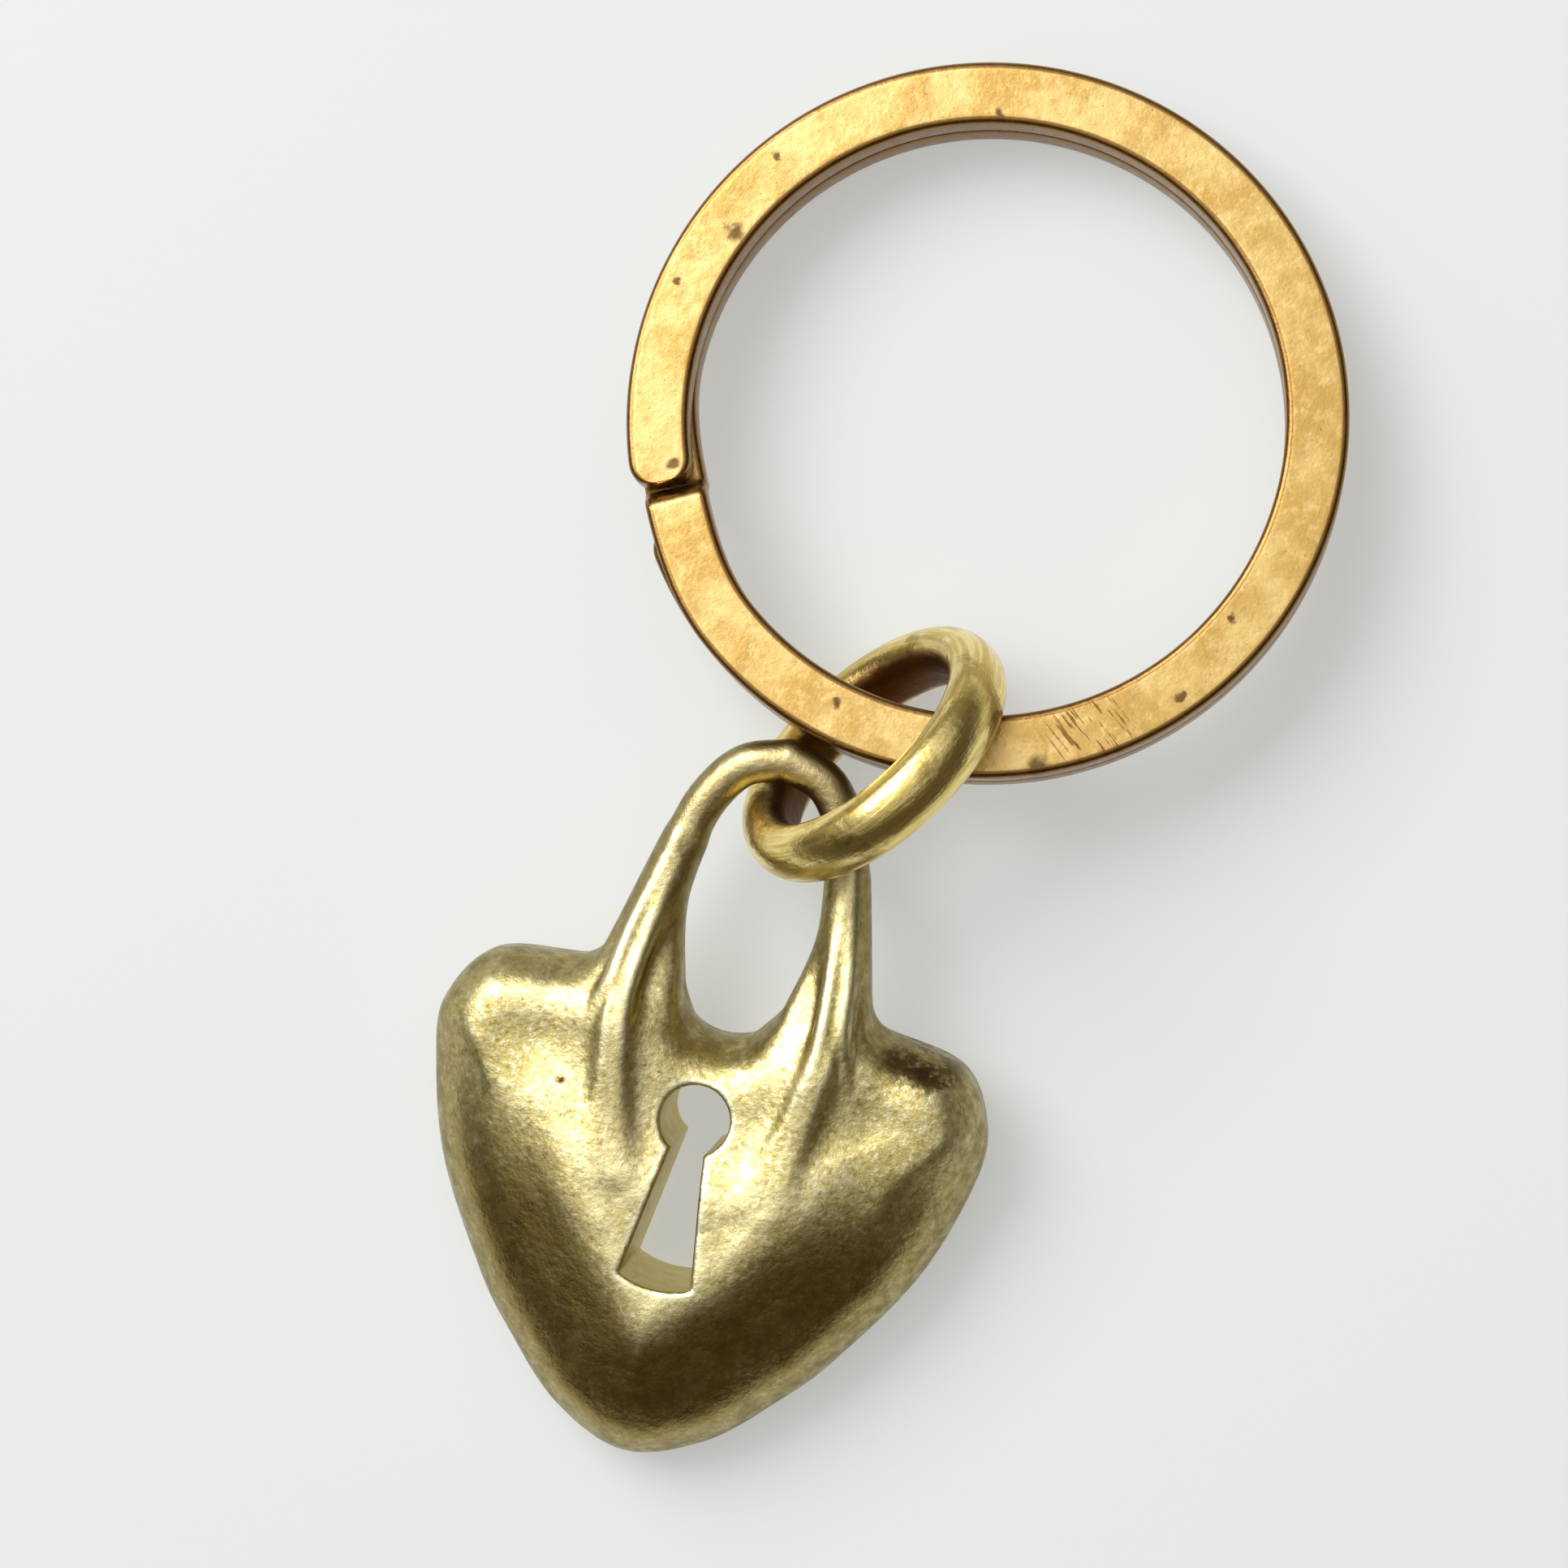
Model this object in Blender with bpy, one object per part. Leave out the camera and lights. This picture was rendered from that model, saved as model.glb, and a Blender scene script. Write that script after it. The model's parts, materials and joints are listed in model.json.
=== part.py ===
"""Heart-padlock key fob: a cast brass heart with a fixed shackle, a jump ring and a flat-wire split ring.

The assembly lies on the plane z = 0. The heart's axis runs along +Y, from its tip to its shackle, and the heart
rests on the edge of its tip, with its shackle a little raised. The origin is at the middle of the box's base.
"""
import math

import bmesh
import bpy
from mathutils import Matrix, Vector

MM = 0.001

# Heart casting, in millimetres in its own frame: x across, y up its axis, z out of its face, back face at z = 0.
HEART_ORIGIN = (-4.088, -15.541)
HEART_RAISE = math.radians(3.1)
TIP_Y = -16.45
BACK_LAND_SCALE = 0.80
RIM_HEIGHT = 2.8
CREST_HEIGHT = 6.4
CREST_SCALE = 0.52
DISH_DEPTH = 0.5
SCALING_CENTRE_Y = -3.5
# Right half of the heart's outline, from the tip up round the lobe to the dip under the shackle.
HALF_OUTLINE = (
    (0.0, TIP_Y),
    (3.5, -15.1),
    (6.35, -12.4),
    (8.3, -10.0),
    (11.1, -5.3),
    (12.5, -0.4),
    (12.25, 2.2),
    (10.7, 4.3),
    (7.4, 4.9),
    (4.6, 5.1),
    (2.4, 4.2),
    (1.3, 3.35),
    (0.0, 3.05),
)
STEPS_PER_SPAN = 4

# Shackle: x, y, z and radius along the right arm, from the apex down to the end of its ridge on the face.
SHACKLE_ARM = (
    (0.0, 15.7, 4.0, 0.96),
    (1.9, 15.0, 4.0, 0.92),
    (3.15, 13.2, 4.0, 0.92),
    (3.75, 11.0, 4.0, 0.95),
    (4.1, 9.0, 4.05, 1.1),
    (4.25, 7.0, 4.15, 1.45),
    (4.25, 5.0, 4.3, 1.85),
    (4.1, 2.5, 4.4, 2.1),
    (3.9, -0.5, 4.6, 2.15),
    (3.7, -3.5, 4.7, 2.05),
    (3.0, -6.5, 4.6, 1.9),
    (2.0, -8.5, 4.0, 1.5),
)
SHACKLE_SHIFT = 0.2
SHACKLE_SIDES = 14

# Keyhole, right through the body.
KEYHOLE_CENTRE_Y = -0.55
KEYHOLE_RADIUS = 1.65
KEYHOLE_NECK_HALF = 0.75
KEYHOLE_FOOT_HALF = 1.7
KEYHOLE_FOOT_Y = -7.8
KEYHOLE_FOOT_BULGE = 0.35

# Jump ring: a thick closed band, round outside and flatter inside.
JUMP_CENTRE = (-0.32, 1.08, 6.51)
JUMP_MEAN_RADIUS = 5.76
JUMP_HALF_DEPTH = 1.18
JUMP_HALF_WIDTH = 1.45
JUMP_LEAN = math.radians(64.0)
JUMP_AZIMUTH = math.radians(145.1)
JUMP_STEPS = 64
JUMP_SIDES = 14

# Split ring: one flat wire wound twice round, with a short jog where it steps down past its own end.
SPLIT_CENTRE = (0.872, 16.259, 3.79)
SPLIT_TILT = math.radians(-6.7)
SPLIT_OUTER_RADIUS = 15.8
SPLIT_INNER_RADIUS = 13.05
WIRE_THICKNESS = 1.8
COIL_GAP = 0.12
WIRE_CORNER = 0.25
SPLIT_ANGLE = 205.0
JOG_LENGTH = 3.4
JOG_INSET = 0.4
INSET_REACH = 26.0
END_GAP = 0.9
END_ROUND = 1.0
COIL_STEP = 5.0


def clear_scene():
    for obj in list(bpy.data.objects):
        bpy.data.objects.remove(obj, do_unlink=True)


def metal(name, colour, roughness):
    material = bpy.data.materials.new(name)
    material.use_nodes = True
    shader = material.node_tree.nodes["Principled BSDF"]
    shader.inputs["Base Color"].default_value = (*colour, 1.0)
    shader.inputs["Metallic"].default_value = 1.0
    shader.inputs["Roughness"].default_value = roughness
    return material


def add_object(name, mesh, material=None):
    obj = bpy.data.objects.new(name, mesh)
    bpy.context.scene.collection.objects.link(obj)
    if material is not None:
        mesh.materials.append(material)
        mesh.shade_smooth()
        mesh.set_sharp_from_angle(angle=math.radians(40))
    return obj


def make_guide(obj):
    obj.hide_render = True
    obj.display_type = "WIRE"


def mesh_from(bm, name):
    bmesh.ops.recalc_face_normals(bm, faces=bm.faces)
    mesh = bpy.data.meshes.new(name)
    bm.to_mesh(mesh)
    bm.free()
    return mesh


def loft(rings, name):
    """A closed solid through rings of equally many points, with a flat cap at each end."""
    bm = bmesh.new()
    loops = [[bm.verts.new(point) for point in ring] for ring in rings]
    count = len(loops[0])
    for low, high in zip(loops, loops[1:]):
        for i in range(count):
            j = (i + 1) % count
            bm.faces.new((low[i], low[j], high[j], high[i]))
    bm.faces.new(loops[0])
    bm.faces.new(loops[-1])
    return mesh_from(bm, name)


def spline(points, steps, closed):
    """Points along a Catmull-Rom curve, with the given number of steps in each span."""
    knots = [Vector(point) for point in points]
    count = len(knots)
    spans = count if closed else count - 1
    curve = []
    for i in range(spans):
        if closed:
            a, b, c, d = (knots[(i + k) % count] for k in (-1, 0, 1, 2))
        else:
            b, c = knots[i], knots[i + 1]
            a = knots[i - 1] if i else 2 * b - c
            d = knots[i + 2] if i + 2 < count else 2 * c - b
        for step in range(steps):
            t = step / steps
            bend = (2 * a - 5 * b + 4 * c - d) * t * t + (3 * b - a - 3 * c + d) * t ** 3
            curve.append(b + 0.5 * ((c - a) * t + bend))
    if not closed:
        curve.append(knots[-1])
    return curve


def heart_outline():
    left = [(-x, y) for x, y in HALF_OUTLINE[-2:0:-1]]
    return spline(list(HALF_OUTLINE) + left, STEPS_PER_SPAN, closed=True)


def heart_profile():
    """Pairs of outline scale and height: back land, rounded rim, domed front and dished middle."""
    pairs = []
    for degrees in (0, 25, 50, 75):
        angle = math.radians(degrees)
        scale = BACK_LAND_SCALE + (1 - BACK_LAND_SCALE) * math.sin(angle)
        pairs.append((scale, RIM_HEIGHT * (1 - math.cos(angle))))
    for degrees in (0, 12, 25, 40, 55, 72, 90):
        angle = math.radians(degrees)
        scale = CREST_SCALE + (1 - CREST_SCALE) * math.cos(angle)
        pairs.append((scale, RIM_HEIGHT + (CREST_HEIGHT - RIM_HEIGHT) * math.sin(angle)))
    pairs.append((0.35, CREST_HEIGHT - 0.6 * DISH_DEPTH))
    pairs.append((0.15, CREST_HEIGHT - DISH_DEPTH))
    return pairs


def heart_body():
    centre = Vector((0.0, SCALING_CENTRE_Y))
    rings = []
    for scale, height in heart_profile():
        flat = [centre + (point - centre) * scale for point in heart_outline()]
        rings.append([(p.x * MM, p.y * MM, height * MM) for p in flat])
    return loft(rings, "heart_body")


def shackle_tube():
    """The shackle and its two ridges as one tapered tube, cast a little to the right of the body's middle."""
    shift = Vector((SHACKLE_SHIFT, 0.0, 0.0))
    left = [(-x, y, z, r) for x, y, z, r in SHACKLE_ARM[:0:-1]]
    path = spline(left + list(SHACKLE_ARM), 3, closed=False)
    rings = []
    for i, point in enumerate(path):
        before = path[max(i - 1, 0)].to_3d()
        after = path[min(i + 1, len(path) - 1)].to_3d()
        along = (after - before).normalized()
        side = along.cross(Vector((0.0, 0.0, 1.0))).normalized()
        up = side.cross(along)
        ring = []
        for k in range(SHACKLE_SIDES):
            angle = 2 * math.pi * (k + 0.5) / SHACKLE_SIDES
            offset = (side * math.cos(angle) + up * math.sin(angle)) * point[3]
            ring.append((point.to_3d() + offset + shift) * MM)
        rings.append(ring)
    return loft(rings, "shackle_guide")


def keyhole_cutter():
    """The keyhole's outline, a circle over a flared slot, as a prism longer than the body is thick."""
    start = math.asin(KEYHOLE_NECK_HALF / KEYHOLE_RADIUS) - math.pi / 2
    sweep = 1.5 * math.pi - (start + math.pi / 2) * 2 + math.pi / 2
    outline = []
    for i in range(21):
        angle = start + sweep * i / 20
        x = KEYHOLE_RADIUS * math.cos(angle)
        y = KEYHOLE_CENTRE_Y + KEYHOLE_RADIUS * math.sin(angle)
        outline.append((x, y))
    for i in range(7):
        across = i / 3 - 1
        y = KEYHOLE_FOOT_Y - KEYHOLE_FOOT_BULGE * (1 - across * across)
        outline.append((KEYHOLE_FOOT_HALF * across, y))
    rings = [[(x * MM, y * MM, z * MM) for x, y in outline] for z in (-1.0, 9.0)]
    return loft(rings, "keyhole_guide")


def place_heart(obj):
    """Raises the shackle end about the edge of the tip, which stays on the plane z = 0."""
    hinge = Vector((0.0, TIP_Y * BACK_LAND_SCALE + SCALING_CENTRE_Y * (1 - BACK_LAND_SCALE), 0.0)) * MM
    turn = Matrix.Translation(hinge) @ Matrix.Rotation(HEART_RAISE, 4, "X") @ Matrix.Translation(-hinge)
    shift = Matrix.Translation((HEART_ORIGIN[0] * MM, HEART_ORIGIN[1] * MM, 0.0))
    obj.matrix_world = shift @ turn


def boolean(obj, other, operation):
    modifier = obj.modifiers.new(other.name, "BOOLEAN")
    modifier.object = other
    modifier.operation = operation
    modifier.solver = "EXACT"


def make_heart():
    brass = metal("heart_brass", (0.50, 0.40, 0.17), 0.36)
    heart = add_object("heart_fob", heart_body(), brass)
    shackle = add_object("shackle_guide", shackle_tube())
    keyhole = add_object("keyhole_guide", keyhole_cutter())
    for obj in (heart, shackle, keyhole):
        place_heart(obj)
    for guide in (shackle, keyhole):
        make_guide(guide)
    boolean(heart, shackle, "UNION")
    boolean(heart, keyhole, "DIFFERENCE")


def make_jump_ring():
    """Spins the band's section about its axis, then leans the ring over."""
    bm = bmesh.new()
    section = []
    for i in range(JUMP_SIDES):
        angle = 2 * math.pi * i / JUMP_SIDES
        flatten = 0.86 if math.cos(angle) < 0 else 1.0
        radius = JUMP_MEAN_RADIUS + JUMP_HALF_DEPTH * flatten * math.cos(angle)
        section.append(bm.verts.new((radius * MM, 0.0, JUMP_HALF_WIDTH * math.sin(angle) * MM)))
    edges = [bm.edges.new((section[i - 1], section[i])) for i in range(JUMP_SIDES)]
    bmesh.ops.spin(
        bm,
        geom=section + edges,
        cent=(0.0, 0.0, 0.0),
        axis=(0.0, 0.0, 1.0),
        angle=2 * math.pi,
        steps=JUMP_STEPS,
        use_merge=True,
    )
    mesh = mesh_from(bm, "jump_ring")
    ring = add_object("jump_ring", mesh, metal("jump_brass", (0.58, 0.42, 0.12), 0.30))
    lean = Matrix.Rotation(JUMP_AZIMUTH, 4, "Z") @ Matrix.Rotation(JUMP_LEAN, 4, "Y")
    ring.matrix_world = Matrix.Translation(Vector(JUMP_CENTRE) * MM) @ lean


def wire_section(half_width, mean_radius):
    """The flat wire's section with clipped corners, as pairs of radius and height."""
    half = WIRE_THICKNESS / 2
    clip = WIRE_CORNER
    corners = (
        (half_width, half - clip),
        (half_width - clip, half),
        (clip - half_width, half),
        (-half_width, half - clip),
        (-half_width, clip - half),
        (clip - half_width, -half),
        (half_width - clip, -half),
        (half_width, clip - half),
    )
    return [(mean_radius + x, z) for x, z in corners]


def jog_share(turned):
    """How far the wire has stepped down, 0 on the upper coil and 1 on the lower, smoothly in between."""
    share = min(max((turned - (360.0 - JOG_LENGTH)) / JOG_LENGTH, 0.0), 1.0)
    return share * share * (3 - 2 * share)


def jog_inset(turned):
    """How far the wire is drawn in towards the ring's axis, most at the jog and fading either side of it."""
    share = max(1.0 - abs(turned - 360.0 + JOG_LENGTH / 2) / INSET_REACH, 0.0)
    return JOG_INSET * share * share * (3 - 2 * share)


def split_stations(length):
    """Angles turned along the wire, close together at its ends and through the jog."""
    round_angle = math.degrees(END_ROUND / SPLIT_OUTER_RADIUS)
    ends = [round_angle * share for share in (0.0, 0.1, 0.3, 0.6, 1.0)]
    stations = set(ends) | {length - angle for angle in ends}
    jog_start = 360.0 - JOG_LENGTH
    stations |= {jog_start + JOG_LENGTH * share / 8 for share in range(9)}
    for step in range(2, int(length / COIL_STEP)):
        if not jog_start - 1.0 < COIL_STEP * step < 361.0:
            stations.add(COIL_STEP * step)
    return sorted(stations)


def make_split_ring():
    """Sweeps the wire's section twice round, clockwise from its upper end to its lower one."""
    mean_radius = (SPLIT_OUTER_RADIUS + SPLIT_INNER_RADIUS) / 2
    half_width = (SPLIT_OUTER_RADIUS - SPLIT_INNER_RADIUS) / 2
    coil_height = (WIRE_THICKNESS + COIL_GAP) / 2
    length = 720.0 - JOG_LENGTH - math.degrees(END_GAP / mean_radius)
    rings = []
    for turned in split_stations(length):
        angle = math.radians(SPLIT_ANGLE - turned)
        share = jog_share(turned)
        from_end = math.radians(min(turned, length - turned)) * mean_radius
        short = max(END_ROUND - from_end, 0.0)
        narrow = END_ROUND - math.sqrt(END_ROUND ** 2 - short ** 2)
        radius = mean_radius - jog_inset(turned)
        height = coil_height * (1 - 2 * share)
        ring = []
        for r, z in wire_section(half_width - narrow * 0.8, radius):
            ring.append((r * math.cos(angle) * MM, r * math.sin(angle) * MM, (z + height) * MM))
        rings.append(ring)
    mesh = loft(rings, "split_ring")
    ring = add_object("split_ring", mesh, metal("split_brass", (0.66, 0.38, 0.11), 0.28))
    tilt = Matrix.Rotation(SPLIT_TILT, 4, "X")
    ring.matrix_world = Matrix.Translation(Vector(SPLIT_CENTRE) * MM) @ tilt


clear_scene()
make_heart()
make_jump_ring()
make_split_ring()
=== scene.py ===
"""The looks of the heart-padlock key fob: a cast brass heart, a worn jump ring and a spotted split ring.

Shapes are worked out in millimetres in each piece's own frame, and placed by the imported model's boxes and joints.
"""
import json
import math

import bpy
import numpy as np
from mathutils import Matrix, Vector


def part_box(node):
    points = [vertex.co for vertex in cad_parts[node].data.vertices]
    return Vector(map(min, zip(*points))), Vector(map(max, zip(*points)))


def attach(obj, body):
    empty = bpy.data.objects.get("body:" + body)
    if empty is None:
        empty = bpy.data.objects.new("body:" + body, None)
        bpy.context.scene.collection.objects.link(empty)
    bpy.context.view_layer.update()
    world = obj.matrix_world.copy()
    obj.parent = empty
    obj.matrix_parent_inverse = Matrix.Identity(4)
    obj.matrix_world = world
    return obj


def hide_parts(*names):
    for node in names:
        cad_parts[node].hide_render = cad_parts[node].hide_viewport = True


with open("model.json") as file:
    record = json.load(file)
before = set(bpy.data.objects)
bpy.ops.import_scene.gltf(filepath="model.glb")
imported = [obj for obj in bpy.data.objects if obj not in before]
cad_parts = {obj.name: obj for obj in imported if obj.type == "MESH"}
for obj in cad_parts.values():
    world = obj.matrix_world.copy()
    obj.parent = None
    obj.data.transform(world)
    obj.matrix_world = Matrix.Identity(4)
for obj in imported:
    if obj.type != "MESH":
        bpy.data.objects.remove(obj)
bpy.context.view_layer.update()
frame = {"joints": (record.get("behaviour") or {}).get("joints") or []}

MM = 0.001

# Heart casting: x across, y up its axis, z out of its face, back face at z = 0.
HEART_RAISE = math.radians(3.1)
GRID_STEP = 0.15
GRID_LOW = (-13.0, -17.0, -0.6)
GRID_HIGH = (13.0, 17.4, 8.4)
HALF_OUTLINE = (
    (0.0, -16.45),
    (3.5, -15.1),
    (6.35, -12.4),
    (8.3, -10.0),
    (11.1, -5.3),
    (12.5, -0.4),
    (12.25, 2.2),
    (10.7, 4.3),
    (7.4, 4.9),
    (4.6, 5.1),
    (2.4, 4.2),
    (1.3, 3.35),
    (0.0, 3.05),
)
# Right arm and its ridge, from the apex down: x, y, middle height, half width and half depth.
ARM = (
    (0.0, 15.7, 4.02, 0.96, 0.98),
    (1.9, 15.0, 4.02, 0.92, 0.97),
    (3.15, 13.2, 4.02, 0.92, 0.96),
    (3.75, 11.0, 4.05, 0.92, 1.0),
    (4.15, 9.0, 4.15, 0.86, 1.15),
    (4.5, 7.0, 4.3, 0.76, 1.45),
    (4.7, 5.0, 4.45, 0.68, 1.8),
    (4.6, 3.0, 4.5, 0.70, 1.9),
    (4.3, 0.8, 4.4, 0.70, 1.9),
    (3.9, -1.2, 4.05, 0.70, 1.9),
    (3.5, -3.2, 3.4, 0.70, 1.9),
)
# The wider flare under it, where the arm spreads into the body.
FLARE = (
    (3.75, 11.0, 3.9, 0.8, 0.8),
    (4.1, 9.0, 3.85, 1.08, 0.95),
    (4.25, 7.0, 3.85, 1.5, 1.15),
    (4.3, 5.0, 3.85, 2.0, 1.5),
    (4.3, 3.0, 3.9, 2.3, 1.7),
    (4.0, 0.0, 3.6, 2.1, 1.7),
    (3.5, -2.5, 3.1, 1.8, 1.6),
)
# Fine raised lines along the arm's outer and inner edges: x, y, middle height and radius.
OUTER_LINE = (
    (3.95, 11.5, 4.70, 0.30),
    (4.45, 9.0, 4.98, 0.32),
    (4.95, 7.0, 5.42, 0.34),
    (5.25, 5.0, 5.85, 0.34),
    (5.7, 3.0, 5.72, 0.32),
    (6.2, 1.6, 5.35, 0.25),
)
INNER_LINE = (
    (3.75, 10.5, 4.74, 0.28),
    (4.0, 9.0, 4.98, 0.32),
    (4.15, 7.0, 5.42, 0.34),
    (4.3, 5.0, 5.90, 0.36),
    (4.35, 2.6, 6.0, 0.36),
    (4.1, 0.0, 5.84, 0.34),
    (3.7, -2.4, 5.75, 0.32),
    (3.3, -4.6, 5.75, 0.30),
)
LINE_BLEND = 0.28
ARM_SHIFT = 0.2
LOOP_SQUARENESS = 2.2
RIDGE_SQUARENESS = 4.0
FLARE_BLEND = 0.7
BODY_BLEND = 1.1
FRONT_ROUND = 1.8
CHAMFER_HEIGHT = 3.85
CHAMFER_SLOPE = 0.62
CHAMFER_LIFT = 1.6
CHAMFER_BLEND = 0.2
BACK_ROUND = 2.1
CREST_INSET = 6.2
CREST_HEIGHT = 6.75
CREST_BLEND = 0.3
CREST_DROP = 0.2
CREST_DROP_REACH = 4.0
LOWER_EDGE_HEIGHT = 4.5
LOBE_HEIGHT = 5.95
LOBE_EDGE_HEIGHT = 5.0
LOBE_SLOPE = 0.5
LOBE_BLEND = 0.5
DISH_CENTRE = (7.6, 1.2)
DISH_SIZE = (2.4, 2.2)
DISH_DEPTH = 0.22
KEYHOLE_CENTRE_Y = -0.55
KEYHOLE_RADIUS = 1.55
KEYHOLE_NECK_HALF = 0.75
KEYHOLE_FOOT_HALF = 1.62
KEYHOLE_FOOT_Y = -7.8
KEYHOLE_FOOT_BULGE = 0.35
KEYHOLE_EDGE_ROUND = 0.15

# Jump ring: a thick closed band, round outside and flatter inside.
JUMP_MEAN_RADIUS = 5.76
JUMP_HALF_DEPTH = 1.18
JUMP_HALF_WIDTH = 1.45
JUMP_INNER_FLATNESS = 0.86
JUMP_LEAN = math.radians(64.0)
JUMP_AZIMUTH = math.radians(145.1)

# Split ring: one flat wire wound twice round, with a short jog where it steps down past its own end.
SPLIT_OUTER_RADIUS = 15.8
SPLIT_INNER_RADIUS = 13.05
WIRE_THICKNESS = 1.8
COIL_GAP = 0.12
WIRE_CORNER = 0.28
END_NARROWING = 0.8
SPLIT_ANGLE = 205.0
JOG_LENGTH = 3.4
JOG_INSET = 0.4
INSET_REACH = 26.0
END_GAP = 0.9
END_ROUND = 1.0

# Brass colours, linear. The heart is olive-gold, the jump ring yellow and the split ring orange-gold.
PALE_BRASS = (0.80, 0.69, 0.34, 1)
KEYHOLE_GOLD = (0.66, 0.54, 0.14, 1)
OLIVE_BRASS = (0.64, 0.53, 0.20, 1)
BROWN_BRASS = (0.37, 0.275, 0.095, 1)
# Light brass for the grain speckles, and for ridges that are lighter from wear and painted highlight.
WORN_AND_HIGHLIGHT_BRASS = (0.96, 0.90, 0.60, 1)
# Painted highlight colour for the crest and the arms' fine lines.
PAINTED_HIGHLIGHT_BRASS = (1.0, 0.88, 0.47, 1)
# Painted shade colour for the shackle loop.
LOOP_SHADE_BRASS = (0.36, 0.27, 0.115, 1)
# Painted shade colour for the slope below the crest.
LOWER_SLOPE_SHADE_BROWN = (0.31, 0.22, 0.055, 1)
# Painted shade colour for the steep sides.
STEEP_SIDE_SHADE = (0.25, 0.19, 0.055, 1)
DARK_PATINA = (0.075, 0.036, 0.010, 1)
# Painted shade colour for the jump ring's inner face.
INNER_SHADE_BROWN = (0.13, 0.052, 0.012, 1)
YELLOW_BRASS = (0.94, 0.77, 0.33, 1)
YELLOW_DARK = (0.70, 0.52, 0.15, 1)
YELLOW_BROWN = (0.28, 0.175, 0.04, 1)
ORANGE_GOLD = (0.70, 0.49, 0.185, 1)
ORANGE_DEEP = (0.55, 0.345, 0.10, 1)
PALE_GOLD = (0.76, 0.57, 0.26, 1)
BROWN_GOLD = (0.22, 0.105, 0.03, 1)
DARK_SPOT = (0.10, 0.05, 0.02, 1)

# Dark stains on the heart's face: centre in its own frame, size and strength.
HEART_STAINS = (
    ((8.4, 4.1), 1.1, 0.8),
    ((9.8, 3.8), 1.0, 0.8),
    ((-6.2, -0.2), 0.22, 1.0),
)
# Dark spots on the split ring's upper face: angle, radius and size.
SPLIT_SPOTS = (
    (157.2, 13.85, 0.42),
    (142.2, 14.9, 0.2),
    (101.9, 13.45, 0.26),
    (-157.6, 13.8, 0.27),
    (-103.2, 14.15, 0.22),
    (-41.2, 14.9, 0.22),
    (-25.4, 13.95, 0.16),
    (-67.2, 15.5, 0.5),
    (170.0, 14.9, 0.16),
)
SCRATCH_PLACE = (7.9, -12.3, 0.0)
SCRATCH_SLANT = math.radians(38)

# The studio: a softbox, and a ceiling that is brightest in one direction, over a dark room.
SOFTBOX_PLACE = (-0.36, 0.22, 0.48)
SOFTBOX_SIZE = 0.40
SOFTBOX_POWER = 3.0
CEILING_DIRECTION = (-0.30, 0.28, 0.91)
ROOM_DARK = (0.070, 0.056, 0.034, 1)
ROOM_MIDDLE = (0.42, 0.42, 0.40, 1)
CEILING_BRIGHT = (1, 1, 1, 1)
CEILING_STOPS = ((0.50, ROOM_DARK), (0.74, ROOM_MIDDLE), (1.0, CEILING_BRIGHT))
CEILING_STRENGTH = 1.25
FLOOR_HALF_SIZE = 0.6
FLOOR_COLOUR = (0.42, 0.43, 0.425, 1)
FLOOR_GLOW = (0.98, 1.0, 0.985, 1)
FLOOR_GLOW_STRENGTH = 0.40
CAMERA_PLACE = (18.452, 10.719, 235.81)
CAMERA_DEGREES = (-1.543, 6.088, 13.842)
CAMERA_LENS = 121.1


def catmull_rom(points, steps, closed):
    """Points along a smooth curve through the given ones, any number of values each."""
    knots = np.array(points, float)
    count = len(knots)
    if closed:
        padded = np.vstack([knots[-1], knots, knots[0], knots[1]])
        spans = count
    else:
        padded = np.vstack([2 * knots[0] - knots[1], knots, 2 * knots[-1] - knots[-2]])
        spans = count - 1
    t = (np.arange(steps) / steps)[:, None]
    curve = []
    for i in range(spans):
        a, b, c, d = padded[i:i + 4]
        bend = (2 * a - 5 * b + 4 * c - d) * t ** 2 + (3 * b - a - 3 * c + d) * t ** 3
        curve.append(b + 0.5 * ((c - a) * t + bend))
    if not closed:
        curve.append(knots[-1:])
    return np.vstack(curve)


def heart_outline():
    left = [(-x, y) for x, y in HALF_OUTLINE[-2:0:-1]]
    return catmull_rom(list(HALF_OUTLINE) + left, 10, closed=True)


def keyhole_outline():
    start = math.asin(KEYHOLE_NECK_HALF / KEYHOLE_RADIUS) - math.pi / 2
    angles = np.linspace(start, math.pi - start, 49)
    ring_x = KEYHOLE_RADIUS * np.cos(angles)
    ring_y = KEYHOLE_CENTRE_Y + KEYHOLE_RADIUS * np.sin(angles)
    across = np.linspace(-1, 1, 13)
    foot_x = KEYHOLE_FOOT_HALF * across
    foot_y = KEYHOLE_FOOT_Y - KEYHOLE_FOOT_BULGE * (1 - across ** 2)
    return np.column_stack([np.append(ring_x, foot_x), np.append(ring_y, foot_y)])


def nearest_on_path(x, y, path, closed):
    """Distance from each point to a flat path, and how many path steps along it the nearest place is."""
    ends = np.roll(path, -1, axis=0) if closed else path[1:]
    starts = path if closed else path[:-1]
    best = np.full(x.shape, 1e9)
    along = np.zeros(x.shape)
    for i, (a, b) in enumerate(zip(starts, ends)):
        ab = b - a
        t = ((x - a[0]) * ab[0] + (y - a[1]) * ab[1]) / (ab @ ab)
        np.clip(t, 0, 1, out=t)
        gap = (x - a[0] - t * ab[0]) ** 2 + (y - a[1] - t * ab[1]) ** 2
        closer = gap < best
        best[closer] = gap[closer]
        along[closer] = i + t[closer]
    return np.sqrt(best), along


def signed_distance(x, y, outline):
    """Distance to a closed outline, below zero inside it."""
    distance, _ = nearest_on_path(x, y, outline, closed=True)
    inside = np.zeros(x.shape, bool)
    for (ax, ay), (bx, by) in zip(outline, np.roll(outline, -1, axis=0)):
        if ay != by:
            crosses = (ay > y) != (by > y)
            inside ^= crosses & (x < (bx - ax) * (y - ay) / (by - ay) + ax)
    return np.where(inside, -distance, distance)


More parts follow.
